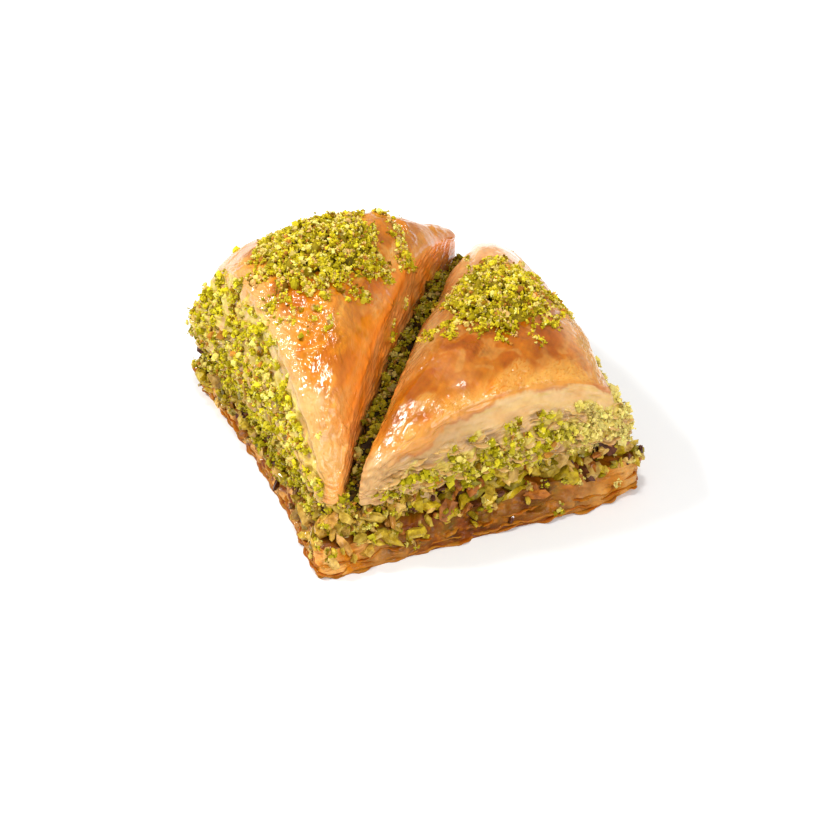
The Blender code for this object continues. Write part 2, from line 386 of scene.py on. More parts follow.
def grid_faces(rows, columns):
    """Four-cornered faces of a grid whose columns close into a ring, facing out of it."""
    row, column = np.meshgrid(np.arange(rows - 1), np.arange(columns), indexing="ij")
    right = (column + 1) % columns
    low, high = row * columns, (row + 1) * columns
    return np.stack([low + column, low + right, high + right, high + column], -1).reshape(-1, 4)


def shell(name, grid, finish, **painted):
    """A closed shell: the grid, with a fan to one point at its first and at its last row."""
    rows, columns = grid.shape[:2]
    points = np.concatenate([grid.reshape(-1, 3), grid[0].mean(axis=0)[None], grid[-1].mean(axis=0)[None]])
    ring, ahead = np.arange(columns), (np.arange(columns) + 1) % columns
    last = (rows - 1) * columns
    below = np.stack([ahead, ring, np.full(columns, rows * columns)], axis=1)
    above = np.stack([last + ring, last + ahead, np.full(columns, rows * columns + 1)], axis=1)
    faces = [grid_faces(rows, columns), below, above]
    ends = {label: np.concatenate([values.reshape(rows * columns, *values.shape[2:]),
                                   values[0].mean(axis=0)[None], values[-1].mean(axis=0)[None]])
            for label, values in painted.items()}
    return solid(name, points, faces, finish, **ends)


def facing(grid):
    """The outward direction at each point of a grid: the cross product of its two slopes."""
    around = np.roll(grid, -1, axis=1) - np.roll(grid, 1, axis=1)
    upward = np.gradient(grid, axis=0)
    out = np.cross(around, upward)
    return out / np.linalg.norm(out, axis=-1).clip(1e-9)[..., None]


def pushed(grid, lift):
    """The grid moved along its outward direction by a lift at each point."""
    return grid + facing(grid) * lift[..., None]


def softened(grid, low, high, passes):
    """The grid with rows low to high drawn toward their neighbours, which rounds an edge there."""
    for _ in range(passes):
        middle = (grid[low - 1:high - 1] + 2.0 * grid[low:high] + grid[low + 1:high + 1]) / 4.0
        grid = np.concatenate([grid[:low], middle, grid[high:]])
    return grid


# ---------------------------------------------------------------- the halves of the top


def half_grid(half, columns, wall_rows, dome_rows):
    """A half's surface: underside, side and dome, as rows of points.

    Side: foot outline + (lip outline - foot outline) * up ^ lean, and outward by a sine of up.
    Dome: height = peak - (peak - lip) * reach ^ power, where reach is 1 at the lip and 0 at the
    peak.
    """
    turn = np.arange(columns) / columns
    lengths = side_lengths(half["foot"])
    low = outline(half["foot"], lengths, turn, TIP_ROUND)
    high = outline(half["lip"], lengths, turn, TIP_ROUND)
    peak_x, peak_y, peak, power = half["dome"]
    middle = np.array([peak_x, peak_y])
    up = np.linspace(0.0, 1.0, wall_rows)[:, None, None]
    wall = low + (high - low) * up ** LEAN_POWER
    foot = seam_height(HIGH_SEAM, wall)
    wall[..., 2] = foot + (high[:, 2] - foot) * up[..., 0]
    away = wall[..., :2] - middle
    outer = ((np.abs(cut_distance(wall)) - 1.8) / 3.0).clip(0.0, 1.0)
    swell = 0.45 * np.sin(2.0 * math.pi * up[..., 0]) * outer
    wall[..., :2] += away * (swell / np.linalg.norm(away, axis=-1))[..., None]
    reach = (1.0 - (np.arange(dome_rows) + 1.0) / dome_rows * 0.985)[:, None, None]
    dome = np.zeros((dome_rows, columns, 3))
    dome[..., :2] = middle + (high[:, :2] - middle) * reach
    dome[..., 2] = peak - (peak - high[:, 2]) * reach[..., 0] ** power
    under = np.zeros((UNDER_ROWS, columns, 3))
    under[..., :2] = middle + (low[:, :2] - middle) * UNDER_REACH
    under[..., 2] = seam_height(HIGH_SEAM, under)
    grid = np.concatenate([under, wall, dome])
    grid = softened(grid, wall_rows - 4, wall_rows + 9, passes=26)
    share = np.zeros(grid.shape[:2] + (2,))
    share[..., 0] = np.concatenate([np.zeros(UNDER_ROWS), up[:, 0, 0], np.ones(dome_rows)])[:, None]
    share[..., 1] = np.concatenate([np.ones(UNDER_ROWS + wall_rows), reach[:, 0, 0]])[:, None]
    return grid, share


# Where the crust is most crinkled, most finely wrinkled, dull and most browned: X, Y and radius
CRINKLED = ((-14.0, -1.0, 7.0), (-16.0, -13.0, 5.0), (-11.0, -15.0, 5.5), (2.0, 1.0, 4.0))
SPARKLING = ((-14.6, -0.6, 5.0), (-13.5, 2.5, 4.0), (-18.2, -5.0, 3.5), (-17.3, 0.7, 4.0),
             (-17.4, -13.0, 3.0), (-21.3, -17.0, 3.0), (-17.2, -15.7, 3.4), (-2.3, -4.9, 2.2),
             (-6.2, -9.8, 2.2), (-10.1, -15.1, 2.8), (1.2, -8.9, 2.6))
SMOOTH = ((0.7, -14.3, 3.4),)
BROWNED = ((3.0, -8.0, 6.0), (12.0, -12.0, 6.0), (-6.0, -4.0, 5.0), (-11.0, -11.0, 4.0))


def near_spots(points, spots):
    """How near each point is to the spots: the sum of e ^ -(distance / radius) ^ 2."""
    return sum(np.exp(-((points[..., 0] - x) ** 2 + (points[..., 1] - y) ** 2) / radius ** 2)
               for x, y, radius in spots)


def crinkled(points):
    """Where the crust is crinkled, 0 to 1, in patches."""
    patches = ripple(points * np.array([1.0, 1.0, 0.6]), 8.0, 5)
    return step(0.1, 1.3, patches + 1.2 * near_spots(points, CRINKLED))


def crust_relief(points):
    """How far the crust stands up: broad swells, and creases and blisters in patches."""
    flat = points * np.array([1.0, 1.0, 0.6])
    bent = flat + 0.8 * ripple(flat, 3.4, 6)[..., None] * np.array([0.7, -0.7, 0.2])
    rough = 0.3 + 0.7 * crinkled(points)
    swells = 0.16 * ripple(flat, 10.0, 1)
    creases = 0.20 * (crease(flat * np.array([1.0, 0.6, 1.0]), 6.0, 2) - 0.4)
    wrinkles = 0.10 * crease(bent, 3.2, 3) + 0.05 * crease(bent, 1.5, 4) + 0.02 * ripple(flat, 0.9, 7)
    glints = 0.040 * ripple(flat, 1.2, 8) + 0.05 * crease(bent, 1.3, 9)
    glints *= near_spots(points, SPARKLING).clip(0.0, 1.5)
    return swells + (creases + wrinkles) * rough + glints


def lip_leaves(grid, reach, from_cut):
    """Thin leaf edges that run along the lip: a saw of the reach, whose lines wander."""
    count = (1.0 - reach) * 24.0 + 1.4 * ripple(grid, 7.0, 15) + 0.5 * ripple(grid, 2.0, 16)
    near = step(0.76, 0.90, reach + 0.05 * ripple(grid, 5.0, 17)) * step(2.0, 5.0, from_cut)
    near = near * step(1.0, 0.96, reach)
    near = np.maximum(near, step(19.0, 25.0, to_near_tip(grid)) * step(1.0, 2.5, from_cut))
    return (count - np.floor(count)) * near, near


LEAF_THICKNESS = 0.44


def leaf_relief(grid, along):
    """How far the leaves in a side stand out, and how deep in a groove each point is."""
    rise = (grid[..., 2] - HIGH_SEAM[0]) / LEAF_THICKNESS
    at = paired(along, grid[..., 2])
    count = rise + 0.45 * ripple(at, 6.0, 11) + 0.175 * ripple(at, 2.2, 12)
    leaf = np.floor(count)
    groove = 1.0 - np.sin(math.pi * (count - leaf)) ** 0.5
    each = paired(along, leaf * 37.0)
    stands = 0.20 * ripple(each, 5.0, 13) + 0.10 * ripple(each, 1.6, 14)
    return stands - 0.18 * groove, groove


AMBER, GOLD, BEIGE = colour(178, 92, 0), colour(214, 134, 16), colour(212, 144, 54)
# PAINTED_GLOW is painted light: an orange glow that stands in for light shining through the pastry in its
# shaded cut walls
PAINTED_GLOW, BLUSH = colour(248, 140, 26), colour(238, 190, 142)
PALE, CREAM = colour(228, 178, 88), colour(222, 188, 124)
# LEAF_EDGE_AND_SHADE: the dark of the lines where leaves end, and painted shade in the grooves between
# leaves
LEAF, LEAF_EDGE_AND_SHADE = colour(176, 142, 98), colour(126, 92, 50)
BAND, PEACH = colour(222, 186, 132), colour(252, 176, 104)
GREEN, GREEN_LOW = colour(226, 210, 104), colour(196, 174, 66)
# GROOVE_SHADE: painted shade in the grooves between the base's sheets
BROWN, GROOVE_SHADE = colour(96, 52, 2), colour(62, 30, 0)
TAN, RUST, MOSS = colour(154, 102, 30), colour(132, 60, 8), colour(122, 96, 14)
HONEY = colour(246, 188, 108)

# What differs between the halves.  Side: the height of the lip's leaf edges and their colour, how
# creamy the band is and how brown at its left end, how ragged and how browned its upper edge is,
# whether its near end is bare, and its tip.  Crust: how golden it is, the colour, direction, reach
# and amount of the blush past its peak, and where the pale rim starts and how pale it is.
LEFT.update(saw=0.08, thin=CREAM, creamy=0.8, brown_end=0.0, ragged=0.0, browned=0.2, bare=0.0,
            tip=PALE, tip_amount=0.3, gold=0.4, blush=BEIGE, blush_way=np.array([0.55, 0.83]),
            blush_reach=12.0, blush_amount=0.75, rim_start=0.76, rim_pale=0.8)
RIGHT.update(saw=0.14, thin=PALE, creamy=0.0, brown_end=0.55, ragged=1.0, browned=1.0, bare=1.0,
             tip=colour(200, 148, 78), tip_amount=0.6, gold=0.9, blush=BLUSH,
             blush_way=np.array([0.95, 0.3]), blush_reach=9.0, blush_amount=0.9, rim_start=0.84,
             rim_pale=0.6)


def side_weight(grid, share, low, high, over, seed):
    """Where grains stick on a half's outer side, in patches.

    They lie between two shares of its height and, where over is 1, spill a little onto the crust.
    """
    up = share[..., 0] + 0.07 * ripple(grid, 3.0, seed)
    band = step(low - 0.06, low + 0.06, up) * step(high + 0.08, high - 0.08, up)
    spill = 0.25 * step(0.84, 0.98, share[..., 1] + 0.05 * ripple(grid, 4.0, seed + 2))
    spill = spill * (share[..., 0] >= 1.0) * step(13.0, 7.0, grid[..., 1]) * step(-6.0, -12.0, grid[..., 0])
    spill = spill * over * step(0.2, 1.0, ripple(grid, 3.4, seed + 3))
    outer = step(2.5, 4.5, np.abs(cut_distance(grid)))
    side = np.maximum(band * (share[..., 1] > 0.99), spill)
    return side * outer * step(-1.7, -0.3, ripple(grid, 2.6, seed + 1))


def half_piece(name, half, node, fold, strew):
    """One closed half of the top: crust, lip, band and leaves in one surface, and its paint.

    The surface is half_grid moved along its outward direction by the relief of each part, and the
    crust is then raised by its folds and by the saw of the lip's leaves.
    """
    grid, share = half_grid(half, columns=480, wall_rows=76, dome_rows=104)
    # Where each point is: up the side, in from the lip, round the half, and near the cleft or tip
    up, reach = share[..., 0], share[..., 1]
    along = np.arange(grid.shape[1])[None, :] / grid.shape[1] * side_lengths(half["foot"]).sum() + 0.0 * up
    from_cut = np.abs(cut_distance(grid))
    outer, dome = step(1.8, 4.0, from_cut), step(0.90, 1.0, up)
    leafy = outer * step(0.72, 0.50, up + 0.05 * ripple(grid, 4.0, 30)) * (1.0 - dome)
    strewn = side_weight(grid, share, *strew(grid))
    tip = step(20.0, 26.5, to_near_tip(grid))
    stands, groove = leaf_relief(grid, along)
    place = paired(along, 0.0 * along)
    ragged = 0.05 * ripple(place, 9.0, 26) + 0.02 * ripple(place, 2.6, 27) + 0.01 * ripple(place, 0.9, 28)
    ragged = ragged + 0.20 * step(6.0, -10.0, grid[..., 0]) - 0.02
    drip = np.where(up < 1.0, up + half["ragged"] * ragged, 1.0)
    # The relief
    lift = crust_relief(grid) * np.maximum(dome, 1.0 - outer) * (1.0 - 0.75 * (1.0 - dome))
    lift += leafy * stands + (1.0 - leafy) * (1.0 - dome) * 0.12 * stands
    lift += strewn * (0.16 * ripple(grid, 1.5, 25) - 0.05)
    rows = ripple(paired(along * 0.5, up * 9.0), 1.6, 43)
    lift += 0.10 * (1.0 - dome) * outer * (1.0 - leafy) * rows
    bare_end = half["bare"] * step(21.6, 24.0, to_near_tip(grid))
    streaks = wave(grid[..., 2] * 0.8 + 0.5 * ripple(grid, 3.0, 45)) ** 2
    lift += 0.12 * streaks * bare_end
    lift[:UNDER_ROWS] = 0.0
    grid = pushed(grid, lift)
    grid[..., 2] += fold(grid) * dome
    saw, near = lip_leaves(grid, reach, from_cut)
    grid = pushed(grid, half["saw"] * saw * dome)
    # The paint
    side = blend(paint_band(half, grid, up, along), paint_leaves(grid, groove), leafy)
    inner = (1.0 - outer) * (1.0 - dome)
    under_lip = np.exp(-((drip - 0.93) / 0.03) ** 2) * outer * (1.0 - strewn) * half["browned"]
    tint = coated(
        paint_crust(half, grid, reach, from_cut),
        (blend(half["thin"], GOLD, step(0.3, 0.0, saw)), 0.5 * near * dome),
        (side, outer * (1.0 - step(0.90, 0.98, drip))),
        # The cut walls: a painted glow of light through the pastry, mixed with peach
        (blend(PAINTED_GLOW, PEACH, mottle(grid, 4.0, 24, 0.45, 0.3)), 0.85 * inner),
        (blend(GREEN_LOW, GREEN, step(-1.0, 1.2, ripple(grid, 1.5, 25))), 0.9 * step(0.2, 0.7, strewn)),
        (AMBER, 0.6 * under_lip * step(-0.8, 0.8, ripple(place, 6.0, 29))),
        (half["tip"], half["tip_amount"] * tip),
        (blend(BAND, LEAF, streaks), 0.8 * bare_end))
    # Syrup and wrinkles
    wet = 1.0 - 0.5 * bare_end - 0.7 * leafy - 0.4 * outer * (1.0 - dome) * (1.0 - leafy)
    wet = wet - 1.2 * near_spots(grid, SMOOTH)
    rough = 0.25 + 0.75 * np.maximum(crinkled(grid), near) + 0.4 * near_spots(grid, SPARKLING)
    rough = rough * np.maximum(dome, 1.0 - outer) + 0.3 * leafy
    made = shell(name, grid, crust_finish, tint=tint.clip(0.0, 1.0), wet=wet.clip(0.0, 1.0), rough=rough)
    settle(made, node, replaces=True)
    return grid, share, strewn


def paint_band(half, grid, up, along):
    """The pale band below the lip: cream and beige, with thin dark lines where leaves end."""
    place = paired(along, 0.0 * along)
    at = paired(along * 0.15, up * 9.0)
    lines = wave(up * 7.0 + 0.9 * ripple(place, 6.0, 31) + 0.3 * ripple(place, 1.8, 32)) ** 5
    slender = step(14.0, 22.0, to_near_tip(grid))
    return coated(
        BAND,
        (CREAM, mottle(at, 1.1, 21, 0.4)),
        (CREAM, half["creamy"]),
        (BEIGE, 0.3 * step(0.0, 1.4, ripple(grid, 5.0, 23))),
        (LEAF_EDGE_AND_SHADE, lines * (0.08 + 0.35 * slender)),
        (LEAF, half["brown_end"] * step(4.0, -4.0, grid[..., 0])))


def paint_leaves(grid, groove):
    """The leaves low in a side: pale in patches, with painted shade in their grooves."""
    # LEAF_EDGE_AND_SHADE in the grooves is painted shade
    return blend(blend(LEAF, BAND, mottle(grid, 3.0, 22)), LEAF_EDGE_AND_SHADE, 0.4 * groove)


def paint_crust(half, grid, reach, from_cut):
    """The crust's colour: gold, with films of beige, pools of amber syrup and a pale outer lip, a painted
    glow near the cleft on the left half, a painted highlight along the right half's edge at the cleft, and
    painted shade over the right half's mid dome.
    """
    x, y, left = grid[..., 0], grid[..., 1], half is LEFT
    flat = grid * np.array([1.0, 1.0, 0.5])
    bent = flat + 1.2 * ripple(flat, 5.0, 33)[..., None] * np.array([0.6, 0.8, 0.0])
    pools = step(0.1, 1.1, ripple(bent, 7.0, 31) + 0.5 * ripple(bent, 2.6, 35))
    veins = crease(bent * np.array([1.0, 0.7, 1.0]), 3.6, 36) ** 2
    film = step(0.2, 1.0, ripple(bent, 4.2, 37) + 0.5 * ripple(bent, 1.8, 42)) * (1.0 - pools)
    past_peak = (grid[..., :2] - np.array(half["dome"][:2])) @ half["blush_way"]
    blush = step(1.0, half["blush_reach"], past_peak) * half["blush_amount"]
    edge = step(half["rim_start"], 1.0, reach + 0.05 * ripple(flat, 4.0, 38))
    pale = edge * step(2.0, 7.0, from_cut) * (1.0 - 0.6 * left * step(3.0, 12.0, y))
    tip = step(-6.0, -17.0, y) * step(-7.0, -14.0, x)
    # rim: where a painted highlight runs along the right half's crinkled edge at the cleft
    rim = np.exp(-((from_cut - 3.4) / 2.2) ** 2) * (0.6 + 0.4 * step(-1.2, 0.4, ripple(flat, 3.0, 44)))
    tint = coated(
        BEIGE,
        (GOLD, step(-0.9, 0.9, ripple(bent, 11.0, 34) + 1.6 * (reach - 0.45) + half["gold"])),
        (AMBER, 0.7 * pools * step(0.1, 0.4, reach)),
        (AMBER, 0.35 * veins),
        (AMBER, (0.55 * near_spots(grid, BROWNED)).clip(0.0, 0.65)),
        (PALE, 0.35 * film),
        (half["blush"], blush * (1.0 - 0.4 * pools)),
        # Painted glow on the left half's crust near the cleft, where it lies in shade
        (PAINTED_GLOW, left * 0.8 * step(6.0, 2.5, from_cut) * step(12.0, 4.0, y)),
        # Painted highlight: cream along the right half's edge at the cleft
        (CREAM, (not left) * 0.85 * rim * step(-14.0, -6.0, y)),
        (CREAM if left else blend(PALE, BLUSH, blush),
         (half["rim_pale"] * pale + 0.3 * tip).clip(0.0, 0.85)))
    fine = 1.0 + 0.05 * ripple(flat, 2.0, 39) + 0.04 * ripple(flat, 0.7, 40)
    # Painted shade on the right half: its mid dome darker away from the lip and the blush, with less green
    if not left:
        fine = fine * (1.0 - 0.27 * step(0.95, 0.75, reach) * (1.0 - 1.3 * blush))
        tint = tint * (1.0 - np.array([0.0, 0.08, 0.0]) * (1.0 - blush)[..., None])
    return tint * fine[..., None]


def crust_fold(grid, start, end, height, width, flank=0.25):
    """A fold: how far the crust stands up on the right of a line from start to end.

    Height * (a smooth step over the flank * e ^ -(distance / width), less a narrow hollow beside it).
    """
    start, end = np.array(start), np.array(end)
    line = end - start
    part = (grid[..., :2] - start) @ line / (line @ line)
    right = (grid[..., :2] - start) @ to_right(line) + 0.5 * ripple(grid, 4.0, 41)
    rises = step(-flank, 0.15, right) * np.exp(-right.clip(0.0) / width)
    hollow = 0.7 * np.exp(-((right + 0.5) / 0.7) ** 2)
    return height * (rises - hollow) * step(-0.1, 0.15, part) * step(1.15, 0.8, part)


# ---------------------------------------------------------------- the base and the filling


BASE_SIDE_ROWS = 52


def slab_grid(foot, rim, under, over, columns, side_rows, top_rows, inset=0.0):
    """A flat layer: underside on one seam, side, and top just under the other seam.

    Side: foot outline + (rim outline - foot outline) * up.  The rim's own height dies away over the
    top as reach ^ 8, where reach is 1 at the rim and 0 in the middle.
    """
    turn = np.arange(columns) / columns
    lengths = side_lengths(foot)
    low = outline(foot, lengths, turn, SQUARE_ROUND)
    high = outline(rim, lengths, turn, SQUARE_ROUND)
    shrink = 1.0 - inset / HALF_LENGTH
    low[:, :2] *= shrink
    high[:, :2] *= shrink
    up = np.linspace(0.0, 1.0, side_rows)[:, None, None]
    wall = low + (high - low) * up
    reach = (1.0 - (np.arange(top_rows) + 1.0) / top_rows * 0.97)[:, None, None]
    top = np.repeat(high[None], top_rows, axis=0)
    top[..., :2] *= reach
    below = np.repeat(low[None], UNDER_ROWS, axis=0)
    below[..., :2] *= UNDER_REACH
    grid = np.concatenate([below, wall, top])
    bottom = seam_height(under, grid)
    sag = np.concatenate([np.ones((UNDER_ROWS + side_rows, 1)), reach[..., 0] ** 8.0]) * high[:, 2]
    roof = seam_height(over, grid) - GAP + sag
    rise = np.concatenate([np.zeros(UNDER_ROWS), up[:, 0, 0], np.ones(top_rows)])[:, None]
    grid[..., 2] = bottom + (roof - bottom) * rise
    return grid, rise + 0.0 * grid[..., 0], turn[None, :] * lengths.sum() + 0.0 * grid[..., 0]


def base_piece():
    """The soaked base: thin sheets in its side, each with its own ragged edge, and curled corners.

    Each corner's foot is raised by height * e^-(distance / reach)^2, and the side then moves along its
    outward direction by the sheets, the grooves between them, lumps, swirls and one low bulge.
    """
    grid, rise, along = slab_grid(BASE_FOOT, BASE_RIM, (0.0, 0.0), LOW_SEAM, columns=760,
                                  side_rows=BASE_SIDE_ROWS, top_rows=8)
    for x, y, height, reach in CURLS:
        grid[..., 2] += height * np.exp(-(from_spot(grid, x, y) / reach) ** 2) * (1.0 - rise)
    low, high = grid[..., :2].min(axis=(0, 1)), grid[..., :2].max(axis=(0, 1))
    size = np.array([LENGTH_X, LENGTH_Y]) - BASE_INSET
    grid[..., :2] = (grid[..., :2] - (low + high) / 2.0) * size / (high - low)
    at = paired(along, rise * 5.0)
    count = rise * 8.0 + 0.9 * ripple(at, 12.0, 51) + 0.3 * ripple(at, 4.0, 52)
    sheet = np.floor(count)
    dry = step(-0.6, 1.0, ripple(at, 7.0, 59))
    groove = (1.0 - np.sin(math.pi * (count - sheet)) ** 0.5) * dry
    each = paired(along, sheet * 41.0)
    stands = (0.16 * ripple(each, 9.0, 53) + 0.06 * ripple(each, 3.0, 54)) * dry
    edge = np.sin(math.pi * rise) ** 0.5 * (rise > 0.0) * (rise < 1.0)
    lumps = 0.16 * ripple(grid, 3.0, 55) + 0.08 * ripple(grid, 1.2, 50) + 0.05 * crease(grid, 0.9, 67)
    lift = (stands - 0.14 * groove + lumps).clip(-0.8, 0.45) * edge
    lift += 0.10 * ripple(grid, 2.5, 56) * (rise >= 1.0)
    swirl = wave(1.3 * ripple(at, 7.0, 65) + 0.5 * ripple(at, 2.5, 66) + 3.0 * rise) ** 3
    lift += 0.06 * swirl * edge
    bulge = np.exp(-((grid[..., 0] - 12.0) / 8.0) ** 2) * (grid[..., 1] < -12.0) * (rise < 1.0)
    lift += 0.9 * bulge * (1.0 - 0.6 * rise) * (rise > 0.0)
    grid = pushed(grid, lift)
    grid[..., 2] = grid[..., 2].clip(0.0)

    corner = step(23.0, 30.0, from_spot(grid, 0.0, 0.0)) * (0.65 + 0.3 * (grid[..., 0] < 0.0))
    left_face = step(-14.0, -20.0, grid[..., 0]) * step(-16.0, -8.0, grid[..., 1]) * (rise < 1.0)
    tint = coated(
        BROWN,
        (TAN, mottle(grid, 3.4, 57, 0.4, 0.4)),
        (MOSS, 0.6 * step(0.0, 1.2, ripple(grid, 4.2, 61)) * step(0.2, 0.6, rise)),
        (RUST, 0.6 * step(0.2, 1.4, ripple(grid, 5.0, 58))),
        # Painted shade in the grooves
        (GROOVE_SHADE, 0.5 * groove),
        (RUST, 0.45 * swirl),
        (GOLD, 0.35 * step(0.5, 1.4, ripple(grid, 1.3, 68))),
        (RUST, 0.6 * step(0.25, 0.0, rise + 0.05 * ripple(at, 5.0, 62))),
        (blend(HONEY, GOLD, mottle(at, 5.0, 60, 0.4, 0.4)), corner * (rise < 1.0)),
        (blend(HONEY, RUST, step(-0.4, 1.0, ripple(grid, 2.2, 64))), 0.75 * left_face))
    even = np.ones(tint.shape[:2])
    made = shell("soaked_base", grid, base_finish, tint=tint, wet=0.5 * even, rough=even)
    settle(made, "base_pastry", replaces=True)
    return grid, rise


def filling_core():
    """The dark syrupy body of the filling, lumpy at its sides, which the nuts stick out of: syrup brown
    darkened as painted shade in the gaps between the nuts.
    """
    grid, rise, _ = slab_grid(FILLING_FOOT, FILLING_RIM, LOW_SEAM, HIGH_SEAM, columns=480,
                              side_rows=18, top_rows=8, inset=0.8)
    lumps = 0.28 * ripple(grid, 2.6, 61) + 0.14 * ripple(grid, 1.2, 62)
    edge = (rise > 0.0) * (rise < 1.0)
    grid = pushed(grid, lumps * edge)
    # Syrup brown, darkened further as painted shade in the gaps between the nuts
    tint = blend(colour(62, 36, 8), colour(104, 66, 20), step(-1.0, 1.5, ripple(grid, 2.0, 63)))
    even = np.ones(tint.shape[:2])
    made = shell("filling_body", grid, base_finish, tint=tint, wet=0.3 * even, rough=even)
    settle(made, "nut_filling", replaces=True)
    return grid, rise


# ---------------------------------------------------------------- nuts and ground pistachio


def round_shape(made):
    """The points and faces of a mesh in the making, each point put at 1 from the middle."""
    mesh = bpy.data.meshes.new("round_shape")
    made.to_mesh(mesh)
    made.free()
    points = np.zeros(len(mesh.vertices) * 3)
    mesh.vertices.foreach_get("co", points)
    faces = np.zeros(len(mesh.polygons) * 3, dtype=np.int32)
    mesh.polygons.foreach_get("vertices", faces)
    bpy.data.meshes.remove(mesh)
    points = points.reshape(-1, 3)
    return points / np.linalg.norm(points, axis=1)[:, None], faces.reshape(-1, 3)


def grain():
    """A ball of 20 faces."""
    made = bmesh.new()
    bmesh.ops.create_icosphere(made, subdivisions=1, radius=1.0)
    return round_shape(made)


def pebble():
    """A ball of 48 faces: a cube whose sides are cut in four, rounded."""
    made = bmesh.new()
    bmesh.ops.create_cube(made, size=2.0)
    bmesh.ops.subdivide_edges(made, edges=made.edges[:], cuts=1, use_grid_fill=True)
    bmesh.ops.triangulate(made, faces=made.faces[:])
    return round_shape(made)


def turned(rng, count):
    """Random turns, as rotation matrices made from random unit quaternions."""
    spins = rng.normal(size=(4, count))
    w, x, y, z = spins / np.linalg.norm(spins, axis=0)
    rows = [[1 - 2 * (y * y + z * z), 2 * (x * y - z * w), 2 * (x * z + y * w)],
            [2 * (x * y + z * w), 1 - 2 * (x * x + z * z), 2 * (y * z - x * w)],
            [2 * (x * z - y * w), 2 * (y * z + x * w), 1 - 2 * (x * x + y * y)]]
    return np.transpose(np.array(rows), (2, 0, 1))


def joined(name, shapes, faces, tints, finish, smooth, node):
    """One mesh from many small shapes: their points in order, and their faces moved along.

    A shape that reaches past LOWEST or HIGHEST is first moved back by as much.
    """
    count, corners = shapes.shape[:2]
    back = (LOWEST - shapes.min(axis=1)).clip(0.0) - (shapes.max(axis=1) - HIGHEST).clip(0.0)
    shapes = shapes + back[:, None]
    moved = (faces[None] + (np.arange(count) * corners)[:, None, None]).reshape(-1, 3)
    made = solid(name, shapes.reshape(-1, 3), [moved], finish, smooth,
                 tint=np.repeat(tints, corners, axis=0).clip(0.0, 1.0))
    return settle(made, node)


def nut_shapes(places, sizes, rng):
    """Chopped kernels: balls cut by random planes, then stretched and turned.

    Radius = (sum over the planes of (direction . plane / depth) ^ m) ^ (-1 / m).
    """
    points, faces = pebble()
    count = len(places)
    planes = rng.normal(size=(count, CUTS, 3))
    planes /= np.linalg.norm(planes, axis=2)[..., None]
    depth = rng.uniform(0.35, 0.95, (count, CUTS))
    to_plane = np.einsum("vk,npk->nvp", points, planes) / depth[:, None]
    radius = (to_plane.clip(0.0) ** CUT_SHARPNESS).sum(axis=2) ** (-1.0 / CUT_SHARPNESS)
    rough = 1.0 + 0.04 * rng.normal(size=radius.shape)
    shapes = points * (radius.clip(0.3, 1.15) * rough)[..., None] * 1.15
    shapes = shapes * rng.uniform([0.9, 0.5, 0.4], [1.5, 0.85, 0.75], (count, 3))[:, None]
    shapes = np.einsum("nvk,njk->nvj", shapes, turned(rng, count))
    return places[:, None] + shapes * (sizes[:, None, None] / 2.0), faces


def diamond():
    """The six points and eight faces of a small diamond."""
    faces = [(x, y, z) if (x + y + z) % 2 else (x, z, y) for x in (0, 3) for y in (1, 4) for z in (2, 5)]
    return np.concatenate([np.eye(3), -np.eye(3)]), np.array(faces)


def pulled_shapes(shape, places, sizes, rng):
    """Copies of a small shape with every corner pulled in or out, each stretched and turned."""
    points, faces = shape
    count = len(places)
    pulled = points * (1.0 + 0.28 * rng.normal(size=(count, len(points)))).clip(0.45, 1.6)[..., None]
    pulled = pulled * rng.uniform(0.6, 1.25, (count, 3))[:, None]
    pulled = np.einsum("nvk,njk->nvj", pulled, turned(rng, count))
    return places[:, None] + pulled * (sizes[:, None, None] / 2.0), faces


def colours(*screens):
    """Screen colours as rows of linear light."""
    return np.array([colour(*screen) for screen in screens])


NUT_TINTS = colours((196, 170, 30), (214, 184, 62), (220, 180, 96), (150, 134, 10), (184, 112, 44),
                    (98, 50, 26), (96, 56, 52))
NUT_SHARES = np.array([0.26, 0.24, 0.15, 0.12, 0.13, 0.06, 0.04])
GRAIN_TINTS = colours((202, 187, 42), (182, 168, 18), (156, 142, 10), (126, 92, 0), (224, 204, 110),
                      (178, 120, 46), (206, 168, 100))
GRAIN_SHARES = np.array([0.27, 0.22, 0.15, 0.07, 0.18, 0.05, 0.06])
# Ground pistachio: the spread of its sizes, the smallest, the size from which a piece is a grain,
# the finer crumbs round each piece, and the grains of a heap that share a place
SIZE_SPREAD, SMALLEST, GRAIN_SIZE, CRUMBS, SHARED = 0.36, 0.26, 0.52, 3, 4
# Chopped kernels: how many planes cut each, how sharply, and the angle from which an edge is sharp
CUTS, CUT_SHARPNESS, SHARP_EDGE = 9, 20.0, math.radians(12.0)


def picked_tints(tints, shares, count, rng):
    """A tint for each piece, picked by share."""
    return tints[rng.choice(len(tints), count, p=shares / shares.sum())]


def scattered(grid, weight, count, rng):
    """Random places on a grid, by weight * area, with the outward direction and the weight at each."""
    area = np.linalg.norm(np.cross(np.roll(grid, -1, axis=1) - grid, np.gradient(grid, axis=0)), axis=-1)
    chance = (weight * area).ravel()
    picks = rng.choice(len(chance), count, p=chance / chance.sum())
    spots = grid.reshape(-1, 3)[picks] + rng.normal(0.0, 0.08, (count, 3))
    return spots, facing(grid).reshape(-1, 3)[picks], weight.ravel()[picks]


def along_surface(moves, out):
    """Moves with most of their part toward the outside taken away."""
    return moves - 0.75 * (moves * out).sum(axis=1)[:, None] * out


